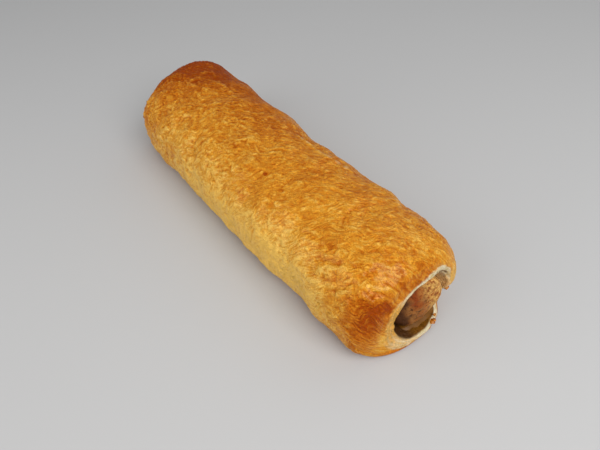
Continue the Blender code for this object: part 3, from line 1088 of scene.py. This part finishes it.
# Fat deep in the mouths, painted dark as shade
FAT_IN_DEEP_SHADE = (0.085, 0.030, 0.004)
FAT_AMBER = (0.20, 0.078, 0.006)
MEAT_RED = (0.34, 0.080, 0.008)
MEAT_STREAK = (0.26, 0.042, 0.003)
MEAT_GREY = (0.28, 0.105, 0.024)
# Dark meat for flecks and pores, and for the painted shade on the sausage's left side
MEAT_DARK = (0.070, 0.022, 0.005)
MEAT_TAN = (0.78, 0.45, 0.12)
CRUMB_ORANGE = (0.62, 0.22, 0.008)
CRUMB_BROWN = (0.26, 0.06, 0.004)
FLOOR_GREY = (0.525, 0.527, 0.533)
FLOOR_PALE = (0.545, 0.547, 0.553)

# The crust's colours by how brown it is, a value that also carries painted highlight on ridges and painted
# shade in creases
CRUST_STOPS = ((0.02, CRUST_PALE), (0.36, CRUST_GOLD), (0.66, CRUST_ORANGE), (0.98, CRUST_BROWN))

# How much each fine structure browns the crust, or pales it with a number below zero. The streaks paint
# highlight on raised fine folds and shade in low ones, and the worms paint shade in their thin creases
PATCH_BROWN = 0.12
FINE_BROWN = 0.10
WORM_CREASE_SHADE = -0.08
STREAK_HIGHLIGHT_AND_SHADE = -0.85

# Shine. Two roughnesses are those of the least and the most glossy, soaked or grainy places
CRUST_ROUGHNESS = (0.50, 0.32)
CRUST_SPECULAR = 0.08
CRUST_COAT = 0.29
COAT_ROUGHNESS = 0.20
DOUGH_ROUGHNESS = (0.75, 0.30)
MEAT_ROUGHNESS = (0.45, 0.65)
MEAT_SPECULAR = 0.14
SAUCE_ROUGHNESS = 0.25
SAUCE_SPECULAR = 0.35
CRUMB_ROUGHNESS = 0.4
CRUMB_COAT = 0.2
FLOOR_ROUGHNESS = 0.6
FLOOR_SPECULAR = 0.25

# The finest relief, which is bump: strength and height
CRUST_BUMP = (0.75, 0.36 * MM)
MEAT_BUMP = (0.7, 0.38 * MM)
SAUCE_BUMP = (0.2, 0.3 * MM)


def crust_material():
    """Baked crust from pale to brown with painted highlight on its ridges and painted shade in its creases,
    the cut dough with what has soaked it and painted shade deep in the hollow, and the smear of sauce.
    """
    n = Nodes("baked crust")
    tone, dough, soak = n.fact("tone"), n.fact("dough"), n.fact("soak")
    fine = n.noise(0.8 * MM, 3)
    patchy = n.noise(1.8 * MM, 2, 0.55, 0.6)
    worms = n.math("ABSOLUTE", n.math("SUBTRACT", n.noise(1.5 * MM, 1, 0.5, 1.6), 0.5))
    worms = n.between(worms, 0.0, 0.12)
    hairs = n.add("ShaderNodeCombineXYZ")
    for socket, name in zip(hairs.inputs, ("hair_across", "hair_along")):
        n.put(socket, n.fact(name))
    hair = n.noise(1.0, 1, 0.5, 0.4, hairs.outputs[0])
    # The finest folds: raised lines painted pale as highlight and low lines painted dark as shade, with the
    # same relief in the bump
    streak = n.math("MULTIPLY", n.math("SUBTRACT", hair, 0.5), n.fact("wrinkled"))
    shade = n.math("ADD", tone, n.math("MULTIPLY_ADD", patchy, PATCH_BROWN, -0.5 * PATCH_BROWN))
    shade = n.math("MULTIPLY_ADD", streak, STREAK_HIGHLIGHT_AND_SHADE, shade)
    shade = n.math("ADD", shade, n.math("MULTIPLY_ADD", fine, FINE_BROWN, -0.5 * FINE_BROWN))
    # The worms' thin creases painted darker as shade
    shade = n.math("ADD", shade, n.math("MULTIPLY_ADD", worms, WORM_CREASE_SHADE, 0.05))
    crust = n.ramp(shade, CRUST_STOPS)
    cream = n.mix(n.between(n.noise(2.4 * MM, 2), 0.40, 0.75), CREAM, CREAM_DEEP)
    yellow = n.mix(n.between(patchy, 0.35, 0.6), CREAM_YELLOW, CREAM_OLIVE)
    cream = n.mix(n.fact("yellow"), cream, yellow)
    # Fat in the hollow: amber, painted darker as shade further in and towards the left
    fat = n.mix(n.between(n.fact("inside"), 0.0, 1.0), FAT_AMBER, FAT_IN_SHADE)
    sauce = n.mix(n.between(patchy, 0.4, 0.8), SMEARED, CREAM_DEEP)
    colour = n.mix(dough, crust, n.mix(soak, cream, fat))
    colour = n.mix(n.fact("smear"), colour, sauce)
    crust_roughness = n.between(n.fact("gloss"), 0.2, 0.9, *CRUST_ROUGHNESS)
    roughness = n.blend(dough, crust_roughness, n.between(soak, 0.0, 1.0, *DOUGH_ROUGHNESS))
    relief = n.math("MULTIPLY_ADD", fine, 0.5, worms)
    relief = n.math("MULTIPLY_ADD", n.noise(0.55 * MM, 3), 0.5, relief)
    n.bump(n.math("MULTIPLY_ADD", streak, 2.6, relief), *CRUST_BUMP)
    n.put(n.shader.inputs["Coat Weight"], n.between(shade, 0.45, 0.90, CRUST_COAT, 0.0))
    return n.finish(colour, roughness, Specular_IOR_Level=CRUST_SPECULAR, Coat_Roughness=COAT_ROUGHNESS)


def meat_material():
    """Minced meat: red and grey patches under tan grain, with dark flecks and pores, and its upper left by
    the lip dark, partly dark fat and partly painted shade.
    """
    n = Nodes("minced meat")
    grain, side = n.fact("grain"), n.fact("side")
    patchy = n.noise(3.2 * MM, 2, 0.5, 0.4)
    speck = n.noise(0.9 * MM, 3, 0.6)
    tilt = n.math("MULTIPLY_ADD", patchy, 2.4, n.math("MULTIPLY_ADD", side, 0.5, -1.2))
    base = n.mix(n.between(tilt, -0.4, 0.5), MEAT_GREY, MEAT_RED)
    grainy = n.math("MULTIPLY_ADD", grain, 0.22, speck)
    pale = n.math("MULTIPLY", n.between(grainy, 0.26, 0.72), n.between(side, -0.10, 0.60, 0.08, 0.95))
    colour = n.mix(pale, base, MEAT_TAN)
    colour = n.mix(n.math("MULTIPLY", n.fact("red"), 0.95), colour, MEAT_STREAK)
    flecks = n.math("MULTIPLY", n.between(grainy, 0.46, 0.24), n.between(side, -0.2, 0.6, 0.90, 0.20))
    colour = n.mix(flecks, colour, MEAT_DARK)
    # The dark upper left by the lip: dark fat and painted shade
    colour = n.mix(n.fact("dark"), colour, MEAT_DARK)
    pores = n.noise(0.5 * MM, 2)
    colour = n.mix(n.between(pores, 0.46, 0.30, 0.0, 0.45), colour, MEAT_DARK)
    n.bump(n.math("MULTIPLY_ADD", pores, 0.5, n.noise(0.8 * MM, 3)), *MEAT_BUMP)
    roughness = n.between(speck, 0.3, 0.7, *MEAT_ROUGHNESS)
    return n.finish(colour, roughness, Specular_IOR_Level=MEAT_SPECULAR)


def sauce_material():
    """Fat that is amber at the edge of the mouth and painted darker further in, as shade."""
    n = Nodes("sauce and fat")
    patchy = n.noise(3.0 * MM, 2)
    depth = n.math("MULTIPLY_ADD", patchy, 0.3, n.fact("inside"))
    # Darker further in: painted shade
    colour = n.mix(n.between(depth, 0.25, 0.80), FAT_AMBER, FAT_IN_DEEP_SHADE)
    n.bump(patchy, *SAUCE_BUMP)
    return n.finish(colour, SAUCE_ROUGHNESS, Specular_IOR_Level=SAUCE_SPECULAR)


def crumb_material():
    n = Nodes("crisp crumbs")
    colour = n.mix(n.between(n.noise(0.9 * MM, 2), 0.4, 0.65), CRUMB_ORANGE, CRUMB_BROWN)
    return n.finish(colour, CRUMB_ROUGHNESS, Coat_Weight=CRUMB_COAT)


def floor_material():
    n = Nodes("plain pale floor")
    colour = n.mix(n.between(n.noise(0.5, 1), 0.3, 0.7), FLOOR_GREY, FLOOR_PALE)
    return n.finish(colour, FLOOR_ROUGHNESS, Specular_IOR_Level=FLOOR_SPECULAR)


# Room

FLOOR_HALF = 3.0
# The soft lights: name, place, what they face, size and power in watts
LIGHTS = (
    ("key", (0.38, 0.0, 0.42), (0.10, 0.0, 0.0), 0.40, 2.12),
    ("back", (-0.05, 0.40, 0.40), (0.0, 0.0, 0.0), 0.40, 0.28),
    ("fill", (-0.10, -0.50, 0.30), (0.0, 0.0, 0.0), 0.50, 1.20),
)
LIGHT_COLOUR = (1.0, 0.99, 0.97)
ROOM_COLOUR = (0.99, 0.995, 1.0, 1.0)
ROOM_STRENGTH = 0.36


def make_floor():
    mesh = bpy.data.meshes.new("floor")
    corners = [(x * FLOOR_HALF, y * FLOOR_HALF, 0) for x, y in ((-1, -1), (1, -1), (1, 1), (-1, 1))]
    mesh.from_pydata(corners, [], [(0, 1, 2, 3)])
    mesh.materials.append(floor_material())
    floor = bpy.data.objects.new("floor", mesh)
    bpy.context.scene.collection.objects.link(floor)


def facing(made, place, ahead):
    """Put a camera or light at the place, looking ahead, into the scene."""
    made.location = place
    made.rotation_mode = "QUATERNION"
    made.rotation_quaternion = ahead.to_track_quat("-Z", "Y")
    bpy.context.scene.collection.objects.link(made)


def make_camera():
    pitch, azimuth = math.radians(CAMERA_PITCH), math.radians(CAMERA_AZIMUTH)
    level = math.cos(pitch)
    ahead = Vector((-math.sin(azimuth) * level, math.cos(azimuth) * level, -math.sin(pitch)))
    data = bpy.data.cameras.new("camera")
    data.lens = LENS
    data.sensor_width = SENSOR
    data.clip_start = CLIP_START
    camera = bpy.data.objects.new("camera", data)
    facing(camera, Vector((*CAMERA_TARGET, 0)) - ahead * (CAMERA_HEIGHT / math.sin(pitch)), ahead)
    bpy.context.scene.camera = camera


def make_light():
    for name, place, aim, size, watts in LIGHTS:
        data = bpy.data.lights.new(name, "AREA")
        data.size = size
        data.energy = watts
        data.color = LIGHT_COLOUR
        facing(bpy.data.objects.new(name, data), place, Vector(aim) - Vector(place))
    world = bpy.data.worlds.new("room")
    world.use_nodes = True
    background = world.node_tree.nodes["Background"]
    background.inputs["Color"].default_value = ROOM_COLOUR
    background.inputs["Strength"].default_value = ROOM_STRENGTH
    bpy.context.scene.world = world
    bpy.context.scene.view_settings.view_transform = "Standard"


make_camera()
make_light()
make_floor()
piece("crust", *crust_mesh(), crust_material(), "pastry", "baked_pastry")
piece("sausage", *sausage_mesh(), meat_material(), "frikandel", "minced_meat")
piece("sauce", *pool_mesh(), sauce_material())
piece("crumbs", *crumb_mesh(), crumb_material())
